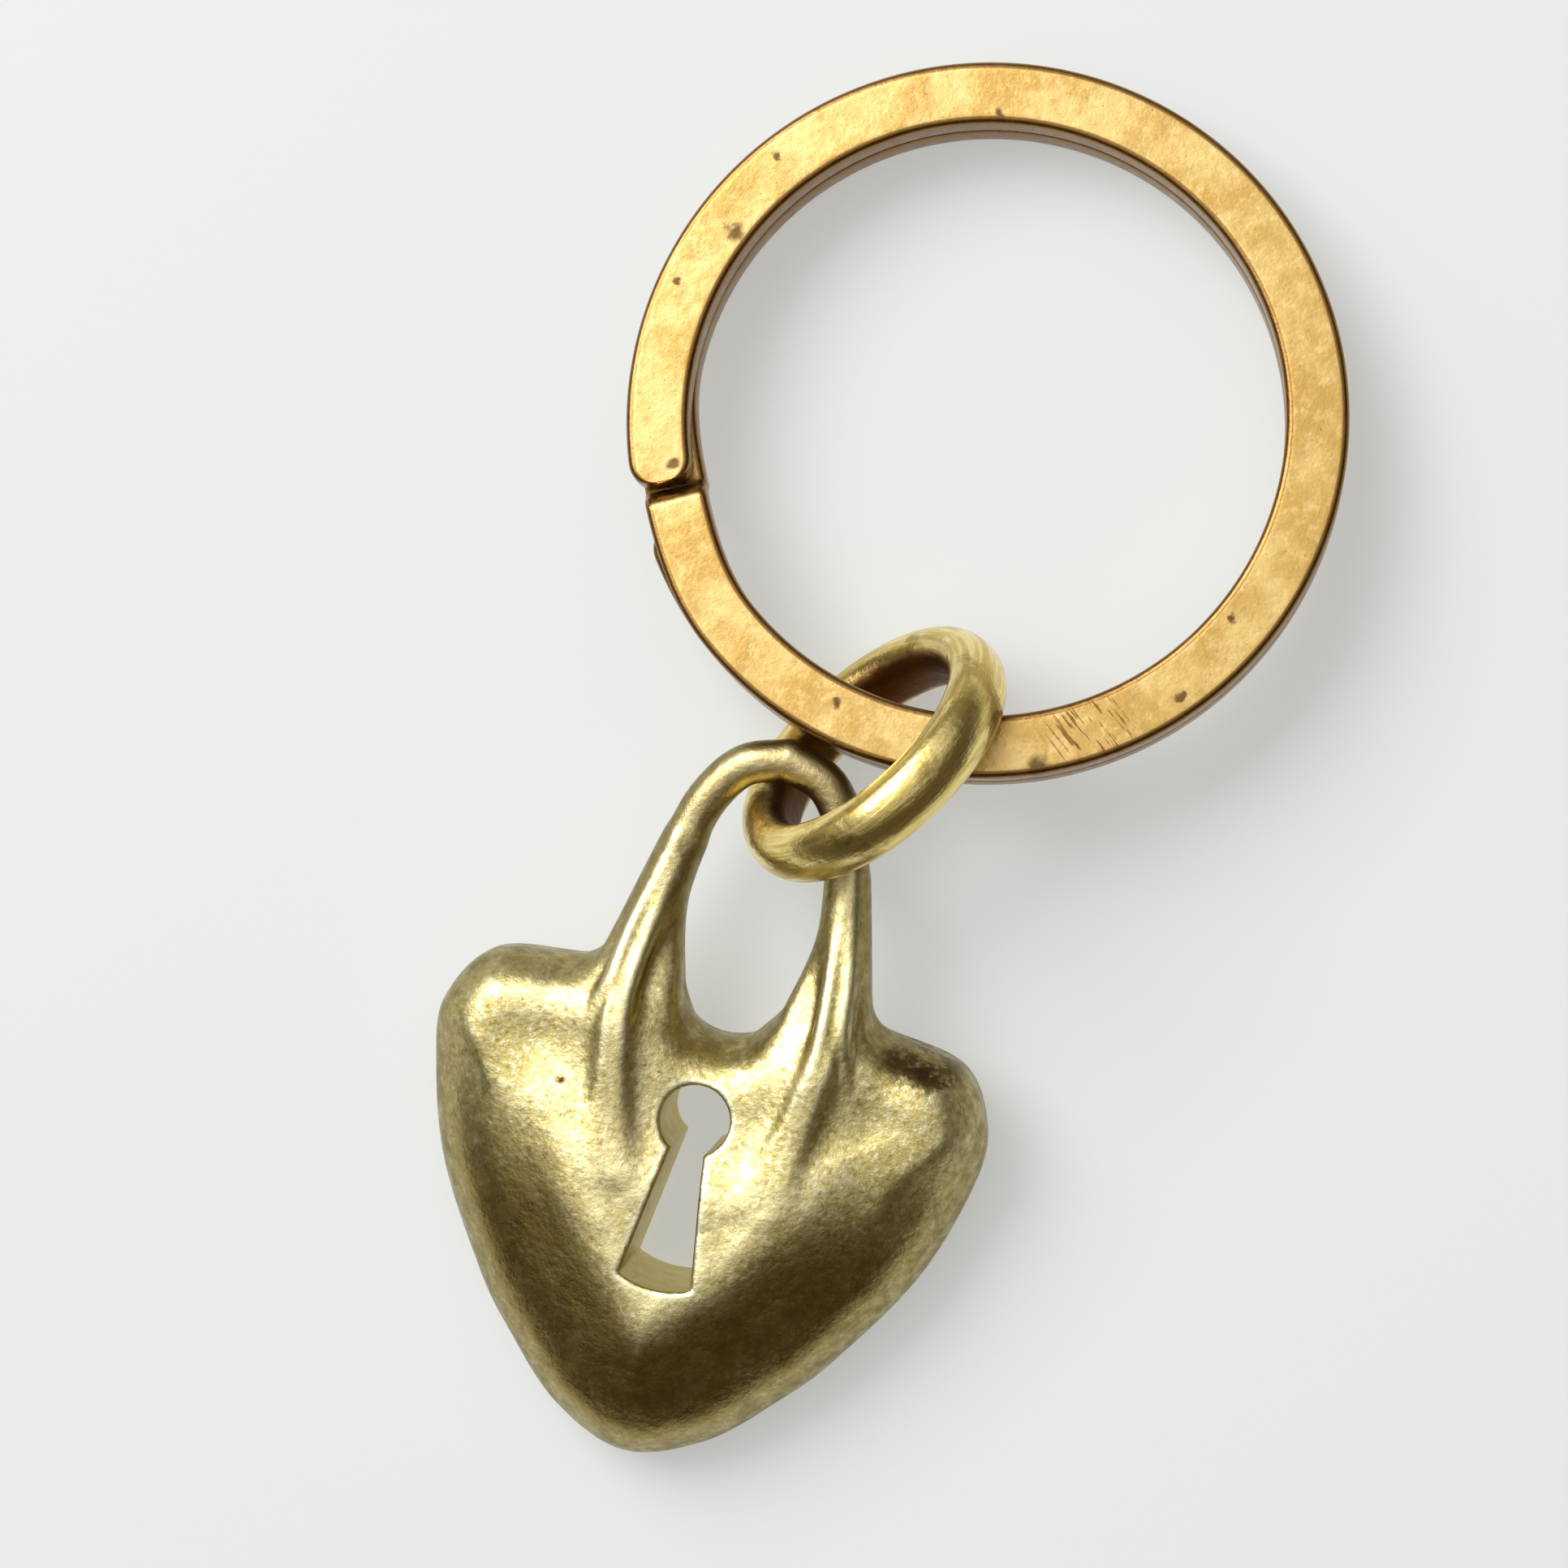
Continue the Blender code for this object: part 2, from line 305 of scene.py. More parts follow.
def soft_min(a, b, blend):
    """The smaller of two values, with the corner between them rounded over a blend length."""
    share = np.clip(0.5 + 0.5 * (b - a) / blend, 0, 1)
    return b + (a - b) * share - blend * share * (1 - share)


def smooth_step(low, high, value):
    """0 at low and 1 at high, with a smooth start and end."""
    share = np.clip((value - low) / (high - low), 0, 1)
    return share * share * (3 - 2 * share)


def round_meet(a, b, radius):
    """The overlap of two solids, with the edge between them rounded to a radius."""
    corner = np.hypot(np.maximum(a + radius, 0), np.maximum(b + radius, 0))
    return np.minimum(np.maximum(a, b), -radius) + corner


class HeartField:
    """The casting as a field, below zero inside the metal, over columns at fixed x and y."""

    outline = heart_outline()
    keyhole = keyhole_outline()
    arm = catmull_rom(ARM, 6, closed=False)
    flare = catmull_rom(FLARE, 6, closed=False)
    outer_line = catmull_rom(OUTER_LINE, 6, closed=False)
    inner_line = catmull_rom(INNER_LINE, 6, closed=False)

    def __init__(self, x, y):
        self.edge = signed_distance(x, y, self.outline)
        self.hole = signed_distance(x, y, self.keyhole)
        self.limbs = [self.limb(x, y, path) for path in (self.arm, self.flare)]
        self.lines = [self.limb(x, y, path) for path in (self.outer_line, self.inner_line)]
        flatter = (RIDGE_SQUARENESS - LOOP_SQUARENESS) * smooth_step(11.0, 6.5, y)
        self.squareness = LOOP_SQUARENESS + flatter
        self.front = self.front_height(np.abs(x), y)

    def limb(self, x, y, path):
        """Distance to a limb's middle line, and its height and sizes there."""
        gap, along = nearest_on_path(np.abs(x - ARM_SHIFT), y, path[:, :2], closed=False)
        steps = np.arange(len(path))
        return [gap] + [np.interp(along, steps, path[:, k]) for k in range(2, path.shape[1])]

    def front_height(self, x, y):
        """Height of the face: a chamfered rim, a slope up to a V-shaped crest, and gently dished lobes."""
        inset = -self.edge
        slope = (CREST_HEIGHT - LOWER_EDGE_HEIGHT) / CREST_INSET
        lower = soft_min(LOWER_EDGE_HEIGHT + slope * inset, CREST_HEIGHT, CREST_BLEND)
        lower = lower - CREST_DROP * smooth_step(CREST_INSET - 0.2, CREST_INSET + CREST_DROP_REACH, inset)
        upper = soft_min(LOBE_EDGE_HEIGHT + LOBE_SLOPE * inset, LOBE_HEIGHT, LOBE_BLEND)
        across = (x - DISH_CENTRE[0]) / DISH_SIZE[0]
        along = (y - DISH_CENTRE[1]) / DISH_SIZE[1]
        upper = upper - DISH_DEPTH * np.exp(-across ** 2 - along ** 2)
        face = lower + (upper - lower) * smooth_step(-6.0, 3.0, y)
        chamfer = CHAMFER_HEIGHT + CHAMFER_SLOPE * inset + CHAMFER_LIFT * smooth_step(-2.0, 4.0, y)
        return soft_min(face, chamfer, CHAMFER_BLEND)

    def at(self, z):
        """The field at heights z over those columns."""
        body = round_meet(z - self.front, self.edge, FRONT_ROUND)
        body = round_meet(body, -z, BACK_ROUND)
        n = self.squareness
        arm, flare = (
            (((gap / wide) ** n + (np.abs(z - middle) / deep) ** n) ** (1 / n) - 1) * np.minimum(wide, deep)
            for gap, middle, wide, deep in self.limbs
        )
        metal = soft_min(body, soft_min(arm, flare, FLARE_BLEND), BODY_BLEND)
        for gap, middle, radius in self.lines:
            metal = soft_min(metal, np.hypot(gap, z - middle) - radius, LINE_BLEND)
        return round_meet(metal, -self.hole, KEYHOLE_EDGE_ROUND)


def surface_nets(values, low, step):
    """One vertex in each cell that the surface crosses, and a quad round each grid edge that it crosses."""
    inside = values < 0
    corners = [(i, j, k) for i in (0, 1) for j in (0, 1) for k in (0, 1)]
    shape = tuple(n - 1 for n in values.shape)
    count = np.zeros(shape, np.int8)
    for i, j, k in corners:
        count += inside[i:i + shape[0], j:j + shape[1], k:k + shape[2]]
    cells = np.argwhere((count > 0) & (count < 8))
    number = np.full(shape, -1, np.int64)
    number[tuple(cells.T)] = np.arange(len(cells))
    total = np.zeros((len(cells), 3))
    crossings = np.zeros(len(cells))
    for a in corners:
        for axis in range(3):
            if a[axis]:
                continue
            b = tuple(a[m] + (m == axis) for m in range(3))
            va = values[tuple((cells + a).T)]
            vb = values[tuple((cells + b).T)]
            hit = (va < 0) != (vb < 0)
            share = np.where(hit, va / np.where(hit, va - vb, 1), 0)
            place = np.array(a, float)[None, :] + share[:, None] * (np.arange(3) == axis)
            total += place * hit[:, None]
            crossings += hit
    points = low + step * (cells + total / crossings[:, None])
    quads = []
    for axis in range(3):
        u, v = (axis + 1) % 3, (axis + 2) % 3
        first = [slice(None)] * 3
        second = [slice(None)] * 3
        first[axis] = slice(0, -1)
        second[axis] = slice(1, None)
        edges = np.argwhere(inside[tuple(first)] != inside[tuple(second)])
        leaving = inside[tuple(first)][tuple(edges.T)]
        around = []
        for du, dv in ((0, 0), (1, 0), (1, 1), (0, 1)):
            cell = edges.copy()
            cell[:, u] -= du
            cell[:, v] -= dv
            around.append(number[tuple(cell.T)])
        ring = np.column_stack(around)
        ring[leaving] = ring[leaving][:, ::-1]
        quads.append(ring)
    return points, np.vstack(quads)[:, ::-1]


def heart_value(points):
    return HeartField(points[:, 0], points[:, 1]).at(points[:, 2])


def settle_on_surface(points, quads, rounds):
    """Evens out the mesh, then moves each vertex back onto the surface along the field's slope."""
    edges = np.vstack([quads[:, [0, 1]], quads[:, [1, 2]], quads[:, [2, 3]], quads[:, [3, 0]]])
    degree = np.bincount(edges.ravel(), minlength=len(points))[:, None]
    probe = 0.02
    for _ in range(rounds):
        total = np.zeros_like(points)
        for axis in range(3):
            for a, b in ((0, 1), (1, 0)):
                weights = points[edges[:, b], axis]
                total[:, axis] += np.bincount(edges[:, a], weights, minlength=len(points))
        points = 0.4 * points + 0.6 * total / degree
        for _ in range(2):
            value = heart_value(points)
            slope = np.empty_like(points)
            for axis in range(3):
                ahead = points.copy()
                ahead[:, axis] += probe
                slope[:, axis] = (heart_value(ahead) - value) / probe
            size = np.maximum((slope ** 2).sum(1), 0.2)
            points = points - np.clip(value / size, -0.1, 0.1)[:, None] * slope
    return points


def normals_of(points, quads):
    across = points[quads[:, 2]] - points[quads[:, 0]]
    other = points[quads[:, 3]] - points[quads[:, 1]]
    facing = np.cross(across, other)
    normal = np.zeros_like(points)
    for corner in range(4):
        for axis in range(3):
            normal[:, axis] += np.bincount(quads[:, corner], facing[:, axis], minlength=len(points))
    return normal / np.maximum(np.linalg.norm(normal, axis=1), 1e-9)[:, None]


def bulge_of(points, quads, normal):
    """How convex the surface is at each vertex: above zero on ridges and below zero in hollows."""
    edges = np.vstack([quads[:, [0, 1]], quads[:, [1, 2]], quads[:, [2, 3]], quads[:, [3, 0]]])
    degree = np.bincount(edges.ravel(), minlength=len(points))

    def mean_of_neighbours(values):
        total = np.zeros(len(points))
        for a, b in ((0, 1), (1, 0)):
            total += np.bincount(edges[:, a], values[edges[:, b]], minlength=len(points))
        return total / degree

    away = points - np.column_stack([mean_of_neighbours(points[:, k]) for k in range(3)])
    bulge = (away * normal).sum(1) / GRID_STEP ** 2
    for _ in range(6):
        bulge = 0.4 * bulge + 0.6 * mean_of_neighbours(bulge)
    return bulge


def add_attribute(obj, name, values):
    values = np.asarray(values, float)
    kind = "FLOAT" if values.ndim == 1 else "FLOAT_VECTOR"
    attribute = obj.data.attributes.new(name, kind, "POINT")
    attribute.data.foreach_set("value" if kind == "FLOAT" else "vector", values.ravel())


def mesh_object(name, points, faces):
    mesh = bpy.data.meshes.new(name)
    mesh.from_pydata((np.asarray(points) * MM).tolist(), [], [list(face) for face in faces])
    mesh.validate()
    mesh.shade_smooth()
    obj = bpy.data.objects.new(name, mesh)
    bpy.context.scene.collection.objects.link(obj)
    return obj


def fit_to_box(obj, node):
    """Moves the mesh so that its middle across and its low end match its CAD node's box."""
    low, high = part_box(node)
    points = np.array([v.co for v in obj.data.vertices])
    mine_low, mine_high = points.min(0), points.max(0)
    shift = Vector((
        (low.x + high.x - mine_low[0] - mine_high[0]) / 2,
        low.y - mine_low[1],
        low.z - mine_low[2],
    ))
    obj.data.transform(Matrix.Translation(shift))


def lower_face(field, y):
    """1 on the broad slope below the crest, painted browner there as shade, fading to 0 round it."""
    inset = -field.edge
    below = 1 - smooth_step(CREST_INSET - 1.6, CREST_INSET + 0.2, inset)
    return below * smooth_step(0.3, 1.5, inset) * (1 - smooth_step(-7.0, 1.0, y))


def painted_highlight(field, y, facing_up):
    """High along the crest and the arms' fine lines, where the metal is painted lighter as a highlight."""
    past_crest = -field.edge - CREST_INSET
    crest = np.exp(-((past_crest - 0.75) / 0.6) ** 2) * smooth_step(0.0, -4.0, y)
    (outer, *_), (inner, *_) = field.lines
    line = np.exp(-(np.minimum(outer, inner) / 0.2) ** 2)
    return np.maximum(crest, 0.6 * line) * smooth_step(0.4, 0.8, facing_up)


def make_heart():
    low, high = np.array(GRID_LOW), np.array(GRID_HIGH)
    cells = np.ceil((high - low) / GRID_STEP).astype(int) + 1
    xs, ys, zs = (low[k] + GRID_STEP * np.arange(cells[k]) for k in range(3))
    x, y = np.meshgrid(xs, ys, indexing="ij")
    columns = HeartField(x, y)
    values = np.stack([columns.at(z) for z in zs], axis=2)
    points, quads = surface_nets(values, low, GRID_STEP)
    points = settle_on_surface(points, quads, 3)
    heart = mesh_object("heart_casting", points, quads)
    normal = normals_of(points, quads)
    add_attribute(heart, "bulge", bulge_of(points, quads, normal))
    field = HeartField(points[:, 0], points[:, 1])
    from_hole = smooth_step(0.2, 0.9, field.hole)
    steep = smooth_step(0.92, 0.45, np.abs(normal[:, 2]))
    add_attribute(heart, "steep", from_hole * steep)
    add_attribute(heart, "keyhole_wall", (1 - from_hole) * steep)
    add_attribute(heart, "lower_face", lower_face(field, points[:, 1]))
    add_attribute(heart, "painted_highlight", painted_highlight(field, points[:, 1], normal[:, 2]))
    add_attribute(heart, "loop", smooth_step(3.0, 10.0, points[:, 1]))
    add_attribute(heart, "casting_place", points)
    heart.data.transform(Matrix.Rotation(HEART_RAISE, 4, "X"))
    fit_to_box(heart, "heart_fob")
    return heart


def sweep(rings, closed):
    """Vertices and faces of a tube through rings of points, with its ends capped unless it is closed."""
    rings = np.asarray(rings)
    count, sides = rings.shape[:2]
    index = np.arange(count * sides).reshape(count, sides)
    ahead = np.roll(index, -1, axis=0) if closed else index[1:]
    here = index if closed else index[:-1]
    quads = np.stack([here, np.roll(here, -1, 1), np.roll(ahead, -1, 1), ahead], axis=2).reshape(-1, 4)
    faces = quads.tolist()
    if not closed:
        faces += [index[0][::-1].tolist(), index[-1].tolist()]
    return rings.reshape(-1, 3), faces


def make_jump_ring():
    turns = np.linspace(0, 2 * math.pi, 240, endpoint=False)
    around = np.linspace(0, 2 * math.pi, 48, endpoint=False)
    flatten = np.where(np.cos(around) < 0, JUMP_INNER_FLATNESS, 1.0)
    radius = JUMP_MEAN_RADIUS + JUMP_HALF_DEPTH * flatten * np.cos(around)
    height = JUMP_HALF_WIDTH * np.sin(around)
    rings = [
        np.column_stack([radius * math.cos(t), radius * math.sin(t), height])
        for t in turns
    ]
    ring = mesh_object("jump_ring_band", *sweep(rings, closed=True))
    inward = np.tile(-np.cos(around), len(turns))
    along = np.repeat(turns * JUMP_MEAN_RADIUS, len(around))
    round_section = np.tile(np.column_stack([np.cos(around), np.sin(around)]), (len(turns), 1))
    add_attribute(ring, "inward", inward)
    add_attribute(ring, "wire_place", np.column_stack([round_section * JUMP_HALF_DEPTH, along]))
    low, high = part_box("jump_ring")
    lean = Matrix.Rotation(JUMP_AZIMUTH, 4, "Z") @ Matrix.Rotation(JUMP_LEAN, 4, "Y")
    ring.data.transform(Matrix.Translation((low + high) / 2) @ lean)
    return ring


def rounded_section(half_width, half_height, corner):
    """A rectangle with round corners, anticlockwise, and for each of its points 1 if it is on a corner."""
    steps = 6
    points = []
    in_corner = []
    for quarter, (sx, sy) in enumerate(((1, 1), (-1, 1), (-1, -1), (1, -1))):
        for i in range(steps):
            angle = math.pi / 2 * (quarter + i / (steps - 1))
            x = sx * (half_width - corner) + corner * math.cos(angle)
            y = sy * (half_height - corner) + corner * math.sin(angle)
            points.append((x, y))
            in_corner.append(1.0)
        if quarter % 2 == 0:
            for share in (0.08, 0.3, 0.7, 0.92):
                points.append((sx * (half_width - corner) * (1 - 2 * share), sy * half_height))
                in_corner.append(0.0)
    return np.array(points), np.array(in_corner)


def make_split_ring():
    mean_radius = (SPLIT_OUTER_RADIUS + SPLIT_INNER_RADIUS) / 2
    half_width = (SPLIT_OUTER_RADIUS - SPLIT_INNER_RADIUS) / 2
    coil_height = (WIRE_THICKNESS + COIL_GAP) / 2
    length = 720.0 - JOG_LENGTH - math.degrees(END_GAP / mean_radius)
    near_end = math.degrees(END_ROUND / mean_radius) * (1 - np.cos(np.linspace(0, math.pi / 2, 9)))
    middle = np.arange(math.ceil(near_end[-1]) + 0.5, length - near_end[-1], 1.0)
    stations = np.concatenate([near_end, middle, (length - near_end)[::-1]])
    rings = []
    corners = []
    for turned in stations:
        angle = math.radians(SPLIT_ANGLE - turned)
        share = float(smooth_step(360.0 - JOG_LENGTH, 360.0, turned))
        from_end = math.radians(min(turned, length - turned)) * mean_radius
        short = max(END_ROUND - from_end, 0.0)
        narrow = END_NARROWING * (END_ROUND - math.sqrt(END_ROUND ** 2 - short ** 2))
        near_jog = max(1.0 - abs(turned - 360.0 + JOG_LENGTH / 2) / INSET_REACH, 0.0)
        radius = mean_radius - JOG_INSET * near_jog ** 2 * (3 - 2 * near_jog)
        section, corner = rounded_section(half_width - narrow, WIRE_THICKNESS / 2, WIRE_CORNER)
        corners.append(corner)
        r = radius + section[:, 0]
        z = section[:, 1] + coil_height * (1 - 2 * share)
        rings.append(np.column_stack([r * math.cos(angle), r * math.sin(angle), z]))
    points, faces = sweep(rings, closed=False)
    faces = [face[::-1] for face in faces]
    ring = mesh_object("split_ring_wire", points, faces)
    add_attribute(ring, "corner", np.concatenate(corners))
    add_attribute(ring, "ring_place", points)
    joint = next(j for j in frame["joints"] if j["name"] == "split_ring_turn")
    tilt = Vector((0, 0, 1)).rotation_difference(Vector(joint["axis"]))
    ring.data.transform(Matrix.Translation(joint["pos_m"]) @ tilt.to_matrix().to_4x4())
    return ring


class Shader:
    """A metal material built node by node, with short names for the nodes it uses."""

    def __init__(self, name):
        self.material = bpy.data.materials.new(name)
        self.material.use_nodes = True
        self.tree = self.material.node_tree
        self.surface = self.tree.nodes["Principled BSDF"]
        self.surface.inputs["Metallic"].default_value = 1.0

    def put(self, socket, value):
        if isinstance(value, bpy.types.NodeSocket):
            self.tree.links.new(value, socket)
        else:
            socket.default_value = value

    def node(self, kind, inputs, **settings):
        made = self.tree.nodes.new(kind)
        for key, value in settings.items():
            setattr(made, key, value)
        for key, value in inputs.items():
            self.put(made.inputs[key], value)
        return made

    def attribute(self, name, output="Fac"):
        return self.node("ShaderNodeAttribute", {}, attribute_name=name).outputs[output]

    def math(self, operation, a, b=0.0):
        return self.node("ShaderNodeMath", {0: a, 1: b}, operation=operation).outputs[0]

    def step(self, value, low, high, start=0.0, end=1.0):
        inputs = {"Value": value, "From Min": low, "From Max": high, "To Min": start, "To Max": end}
        return self.node("ShaderNodeMapRange", inputs, interpolation_type="SMOOTHSTEP").outputs["Result"]

    def scaled(self, place, scale):
        return self.node("ShaderNodeVectorMath", {0: place, 1: scale}, operation="MULTIPLY").outputs[0]

    def noise(self, place, scale, detail=3.0, rough=0.55, warp=0.0):
        inputs = {"Vector": place, "Scale": scale, "Detail": detail, "Roughness": rough, "Distortion": warp}
        return self.node("ShaderNodeTexNoise", inputs).outputs["Fac"]

    def mix(self, share, first, second):
        made = self.tree.nodes.new("ShaderNodeMix")
        made.data_type = "RGBA"
        self.put(made.inputs[0], share)
        self.put(made.inputs[6], first)
        self.put(made.inputs[7], second)
        return made.outputs[2]

    def blot(self, place, centre, size):
        """1 at a centre, fading to 0 round a blot of a size."""
        gap = self.node("ShaderNodeVectorMath", {0: place, 1: centre}, operation="DISTANCE").outputs["Value"]
        return self.step(gap, size * 1.5, size * 0.5)

    def finish(self, colour, roughness, height, distance):
        bump = self.node("ShaderNodeBump", {"Height": height, "Distance": distance * MM, "Strength": 1.0})
        self.put(self.surface.inputs["Base Color"], colour)
        self.put(self.surface.inputs["Roughness"], roughness)
        self.put(self.surface.inputs["Normal"], bump.outputs["Normal"])
        return self.material


def heart_material():
    """Aged cast brass: mottled olive-gold, lighter on its ridges from wear and painted highlight, painted brighter
    as highlight on its crest and fine lines, dark in its hollows, and painted darker as shade on its lower slope,
    steep sides and loop.
    """
    m = Shader("heart_brass")
    place = m.attribute("casting_place", "Vector")
    bulge = m.attribute("bulge")
    broad = m.noise(place, 0.28, 4.0, 0.6)
    mottle = m.noise(place, 1.3, 5.0, 0.65)
    grain = m.noise(place, 3.2, 5.0, 0.75)
    colour = m.mix(m.step(broad, 0.36, 0.64), OLIVE_BRASS, PALE_BRASS)
    colour = m.mix(m.step(mottle, 0.50, 0.72, 0.0, 0.55), colour, BROWN_BRASS)
    colour = m.mix(m.step(grain, 0.51, 0.63, 0.0, 0.85), colour, WORN_AND_HIGHLIGHT_BRASS)
    colour = m.mix(m.step(grain, 0.47, 0.34, 0.0, 0.85), colour, BROWN_BRASS)
    # Convex ridges painted lighter: partly rubbed wear, partly a painted highlight where the ridges catch the
    # ceiling.
    ridge_wear_and_highlight = m.step(m.math("ADD", bulge, m.math("MULTIPLY", mottle, 0.25)), 0.20, 0.48, 0.0, 0.9)
    colour = m.mix(ridge_wear_and_highlight, colour, WORN_AND_HIGHLIGHT_BRASS)
    grime = m.step(m.math("SUBTRACT", bulge, m.math("MULTIPLY", mottle, 0.30)), -0.36, -0.85, 0.0, 0.75)
    colour = m.mix(grime, colour, DARK_PATINA)
    # Painted shade: the shackle loop is painted darker in patches.
    loop_shade = m.math("MULTIPLY", m.attribute("loop"), m.step(broad, 0.3, 0.6, 0.35, 0.8))
    colour = m.mix(loop_shade, colour, LOOP_SHADE_BRASS)
    # Painted shade: the slope below the crest, which faces the dark room, is painted brown.
    brown = m.math("MULTIPLY", m.attribute("lower_face"), m.step(broad, 0.25, 0.6, 0.55, 0.9))
    colour = m.mix(brown, colour, LOWER_SLOPE_SHADE_BROWN)
    # Painted highlight along the crest and the arms' fine lines.
    bright = m.math("MULTIPLY", m.attribute("painted_highlight"), m.step(grain, 0.36, 0.56, 0.45, 0.95))
    colour = m.mix(bright, colour, PAINTED_HIGHLIGHT_BRASS)
    # Painted shade on the steep sides and the arms' outer flanks.
    steep_shade = m.math("MULTIPLY", m.attribute("steep"), m.step(mottle, 0.3, 0.65, 0.6, 0.95))
    colour = m.mix(steep_shade, colour, STEEP_SIDE_SHADE)
    colour = m.mix(m.math("MULTIPLY", m.attribute("keyhole_wall"), 0.85), colour, KEYHOLE_GOLD)
    ragged = m.noise(place, 0.9, 4.0, 0.7)
    flat = m.scaled(place, (1.0, 1.0, 0.0))
    for centre, size, strength in HEART_STAINS:
        patchy = m.step(ragged, 0.42, 0.54, 0.0, strength)
        stain = m.math("MULTIPLY", m.blot(flat, (*centre, 0.0), size), patchy)
        colour = m.mix(stain, colour, DARK_PATINA)
    rough = m.step(mottle, 0.3, 0.7, 0.31, 0.44)
    rough = m.math("SUBTRACT", rough, m.math("MULTIPLY", m.attribute("lower_face"), 0.12))
    rough = m.math("ADD", rough, m.math("MULTIPLY", grime, 0.15))
    rough = m.math("SUBTRACT", rough, m.math("MULTIPLY", bright, 0.08))
    height = m.math("ADD", m.math("MULTIPLY", broad, 1.2), m.math("MULTIPLY", mottle, 0.35))
    height = m.math("ADD", height, m.math("MULTIPLY", grain, 0.26))
    return m.finish(colour, rough, height, 0.10)


def jump_material():
    """Yellow brass wire drawn with streaks along its length, with its inside painted dark brown as shade."""
    m = Shader("jump_brass")
    place = m.attribute("wire_place", "Vector")
    streak = m.noise(m.scaled(place, (3.2, 3.2, 0.35)), 1.0, 4.0, 0.6, 0.4)
    fine = m.noise(m.scaled(place, (9.0, 9.0, 1.2)), 1.0, 3.0, 0.6)
    patch = m.noise(place, 0.55, 4.0, 0.65)
    colour = m.mix(m.step(streak, 0.38, 0.62), YELLOW_DARK, YELLOW_BRASS)
    colour = m.mix(m.step(fine, 0.52, 0.70, 0.0, 0.6), colour, YELLOW_DARK)
    colour = m.mix(m.step(patch, 0.55, 0.72, 0.0, 0.7), colour, YELLOW_BROWN)
    # Painted shade on the inner face of the ring.
    inward = m.math("ADD", m.attribute("inward"), m.math("MULTIPLY", patch, 0.5))
    inner_shade = m.step(inward, 0.72, 1.05)
    colour = m.mix(inner_shade, colour, INNER_SHADE_BROWN)
    rough = m.math("ADD", m.step(streak, 0.3, 0.7, 0.33, 0.20), m.math("MULTIPLY", inner_shade, 0.2))
    height = m.math("ADD", m.math("MULTIPLY", streak, 0.5), m.math("MULTIPLY", fine, 0.10))
    height = m.math("ADD", height, m.math("MULTIPLY", patch, 1.2))
    return m.finish(colour, rough, height, 0.06)


def split_material():
    """Orange-gold wire: clouded and finely speckled, with dark spots, scratches, and thin dark edges that are
    painted shade along its corners.
    """
    m = Shader("split_brass")
    place = m.attribute("ring_place", "Vector")
    cloud = m.noise(place, 0.35, 4.0, 0.6)
    mottle = m.noise(place, 1.8, 4.0, 0.65)
    speck = m.noise(place, 6.0, 3.0, 0.6)
    colour = m.mix(m.step(cloud, 0.36, 0.64), ORANGE_DEEP, ORANGE_GOLD)
    colour = m.mix(m.step(mottle, 0.50, 0.70, 0.0, 0.5), colour, PALE_GOLD)
    colour = m.mix(m.step(mottle, 0.42, 0.28, 0.0, 0.6), colour, ORANGE_DEEP)
    colour = m.mix(m.step(speck, 0.64, 0.72, 0.0, 0.55), colour, BROWN_GOLD)
    wobble = m.node("ShaderNodeTexNoise", {"Vector": place, "Scale": 1.6, "Detail": 3.0}).outputs["Color"]
    centred = m.node("ShaderNodeVectorMath", {0: wobble, 1: (0.5, 0.5, 0.5)}, operation="SUBTRACT")
    inputs = {0: centred.outputs[0], 1: (0.9, 0.9, 0.0), 2: place}
    shaken = m.node("ShaderNodeVectorMath", inputs, operation="MULTIPLY_ADD")
    flat = m.scaled(shaken.outputs[0], (1.0, 1.0, 0.0))
    for degrees, radius, size in SPLIT_SPOTS:
        angle = math.radians(degrees)
        centre = (radius * math.cos(angle), radius * math.sin(angle), 0.0)
        colour = m.mix(m.math("MULTIPLY", m.blot(flat, centre, size), 0.9), colour, DARK_SPOT)
    scratch_zone = m.blot(flat, SCRATCH_PLACE, 1.9)
    inputs = {"Vector": place, "Angle": SCRATCH_SLANT}
    slanted = m.node("ShaderNodeVectorRotate", inputs, rotation_type="Z_AXIS")
    scratch = m.noise(m.scaled(slanted.outputs[0], (0.5, 5.0, 0.5)), 1.0, 3.0, 0.6)
    scratch = m.math("MULTIPLY", m.step(scratch, 0.56, 0.62), scratch_zone)
    colour = m.mix(scratch, colour, BROWN_GOLD)
    # Painted shade along the wire's rounded corners.
    corner_shade_reach = m.math("ADD", m.attribute("corner"), m.math("MULTIPLY", mottle, 0.35))
    edge = m.step(corner_shade_reach, 0.85, 1.15, 0.0, 0.85)
    colour = m.mix(edge, colour, BROWN_GOLD)
    rough = m.step(mottle, 0.3, 0.7, 0.24, 0.36)
    height = m.math("ADD", m.math("MULTIPLY", cloud, 0.5), m.math("MULTIPLY", mottle, 0.22))
    height = m.math("ADD", height, m.math("MULTIPLY", speck, 0.12))
    return m.finish(colour, rough, height, 0.06)


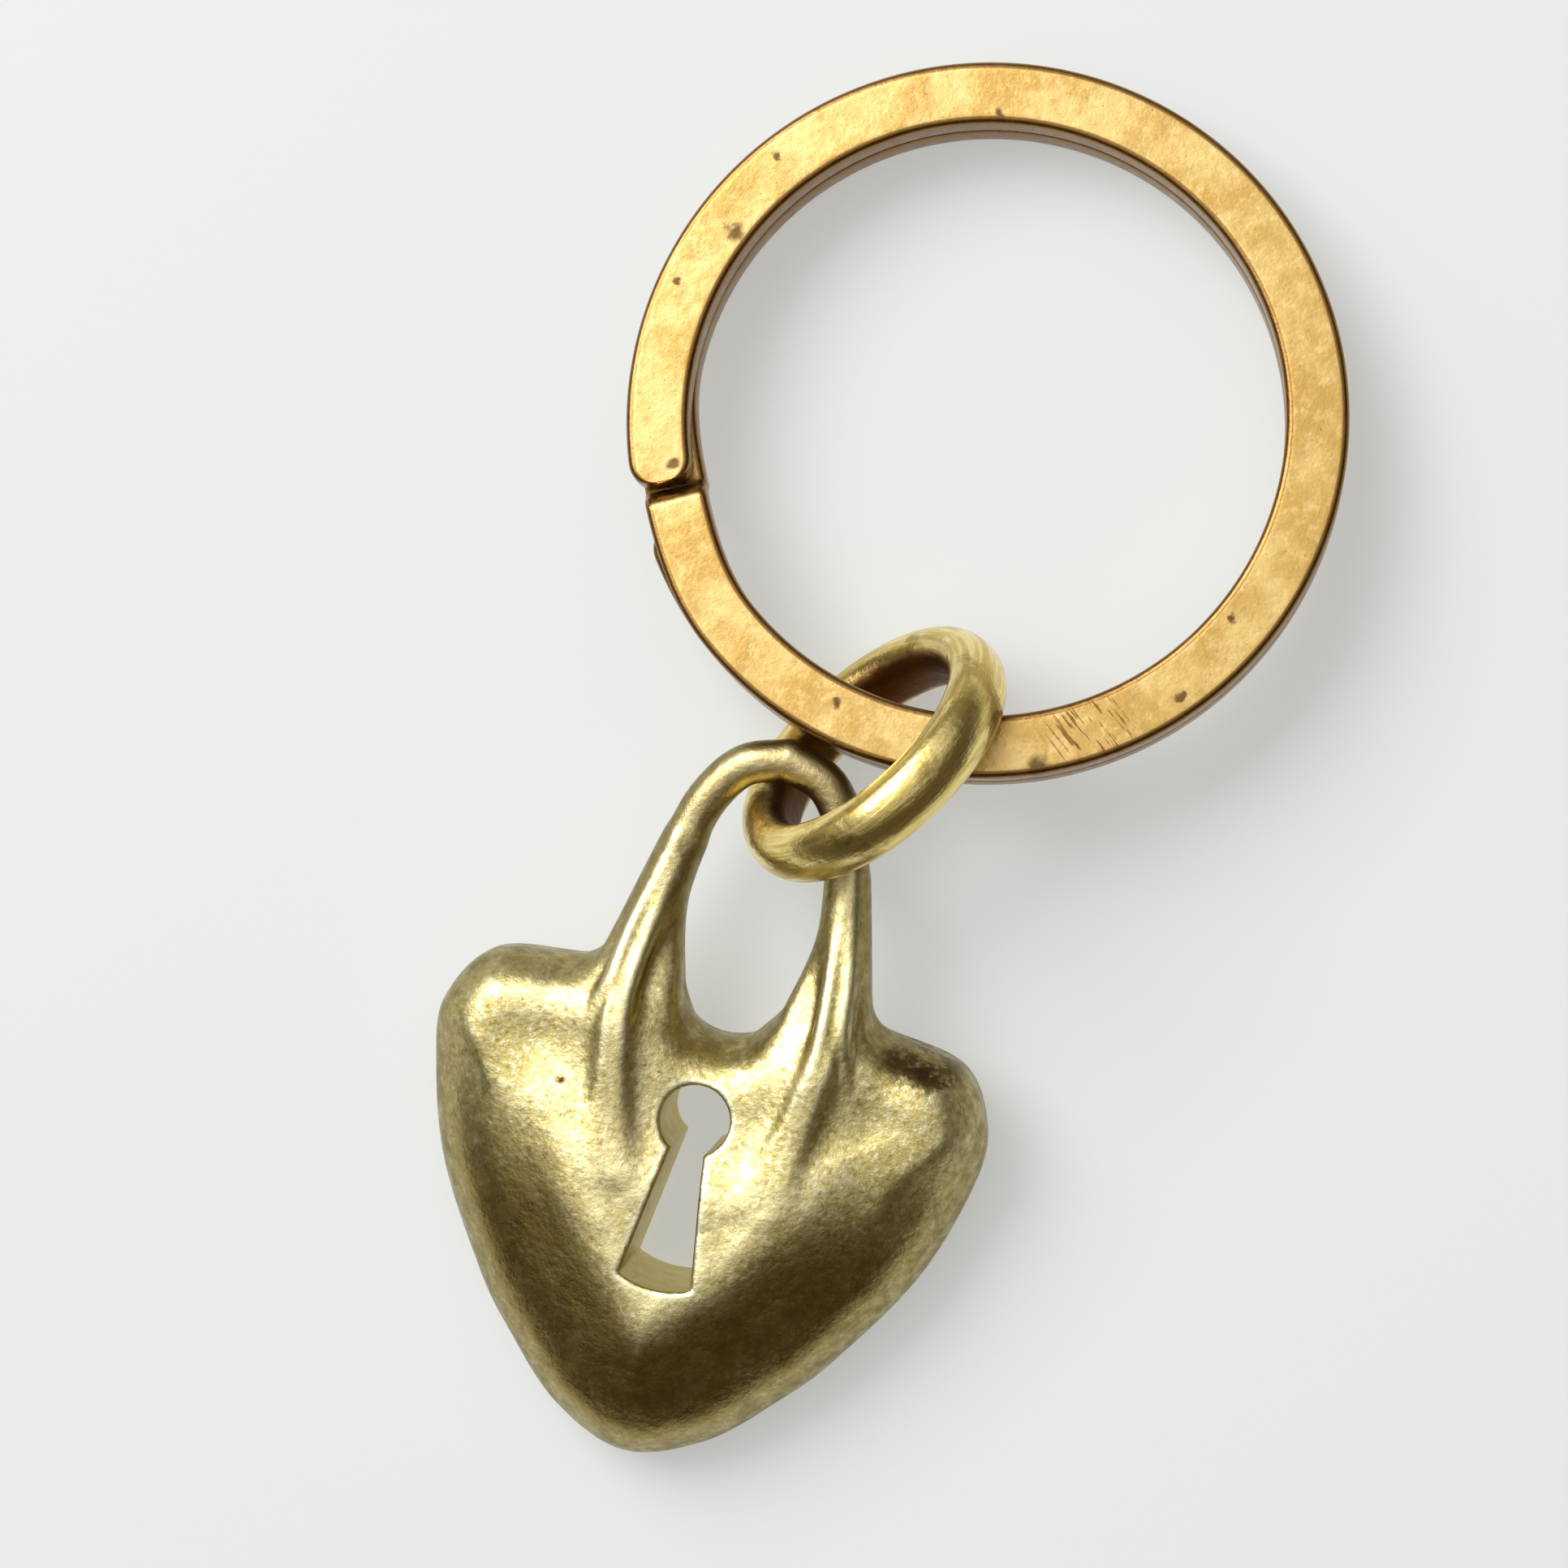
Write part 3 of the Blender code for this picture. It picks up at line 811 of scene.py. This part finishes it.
def make_floor():
    size = FLOOR_HALF_SIZE
    corners = [(-size, -size, 0), (size, -size, 0), (size, size, 0), (-size, size, 0)]
    mesh = bpy.data.meshes.new("floor")
    mesh.from_pydata(corners, [], [(0, 1, 2, 3)])
    floor = bpy.data.objects.new("floor", mesh)
    bpy.context.scene.collection.objects.link(floor)
    material = bpy.data.materials.new("floor_white")
    material.use_nodes = True
    shader = material.node_tree.nodes["Principled BSDF"]
    shader.inputs["Base Color"].default_value = FLOOR_COLOUR
    shader.inputs["Roughness"].default_value = 0.7
    shader.inputs["Emission Color"].default_value = FLOOR_GLOW
    shader.inputs["Emission Strength"].default_value = FLOOR_GLOW_STRENGTH
    floor.data.materials.append(material)


def make_softbox():
    light = bpy.data.lights.new("softbox", "AREA")
    light.size = SOFTBOX_SIZE
    light.energy = SOFTBOX_POWER
    softbox = bpy.data.objects.new("softbox", light)
    softbox.location = SOFTBOX_PLACE
    softbox.rotation_euler = (-Vector(SOFTBOX_PLACE)).to_track_quat("-Z", "Y").to_euler()
    bpy.context.scene.collection.objects.link(softbox)


def make_ceiling():
    """The world: a ramp from the dark room to the bright ceiling, by direction."""
    world = bpy.data.worlds.new("studio")
    bpy.context.scene.world = world
    world.use_nodes = True
    tree = world.node_tree
    direction = tree.nodes.new("ShaderNodeTexCoord").outputs["Generated"]
    toward = tree.nodes.new("ShaderNodeVectorMath")
    toward.operation = "DOT_PRODUCT"
    toward.inputs[1].default_value = Vector(CEILING_DIRECTION).normalized()
    tree.links.new(direction, toward.inputs[0])
    ramp = tree.nodes.new("ShaderNodeValToRGB")
    ramp.color_ramp.interpolation = "EASE"
    ramp.color_ramp.elements.new(0.5)
    for element, (place, colour) in zip(ramp.color_ramp.elements, CEILING_STOPS):
        element.position = place
        element.color = colour
    tree.links.new(toward.outputs["Value"], ramp.inputs["Fac"])
    tree.links.new(ramp.outputs["Color"], tree.nodes["Background"].inputs["Color"])
    tree.nodes["Background"].inputs["Strength"].default_value = CEILING_STRENGTH


def make_camera():
    camera = bpy.data.cameras.new("camera")
    camera.sensor_width = 36.0
    camera.lens = CAMERA_LENS
    camera.clip_start = 0.01
    obj = bpy.data.objects.new("camera", camera)
    obj.location = Vector(CAMERA_PLACE) * MM
    obj.rotation_euler = [math.radians(a) for a in CAMERA_DEGREES]
    bpy.context.scene.collection.objects.link(obj)
    bpy.context.scene.camera = obj


heart = make_heart()
jump_ring = make_jump_ring()
split_ring = make_split_ring()
heart.data.materials.append(heart_material())
jump_ring.data.materials.append(jump_material())
split_ring.data.materials.append(split_material())
for piece, body, node, slot in (
    (heart, "heart", "heart_fob", "heart_brass"),
    (jump_ring, "jump", "jump_ring", "jump_brass"),
    (split_ring, "split", "split_ring", "split_brass"),
):
    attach(piece, body)
    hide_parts(node)

make_floor()
make_softbox()
make_ceiling()
make_camera()
scene = bpy.context.scene
scene.view_settings.view_transform = "Standard"
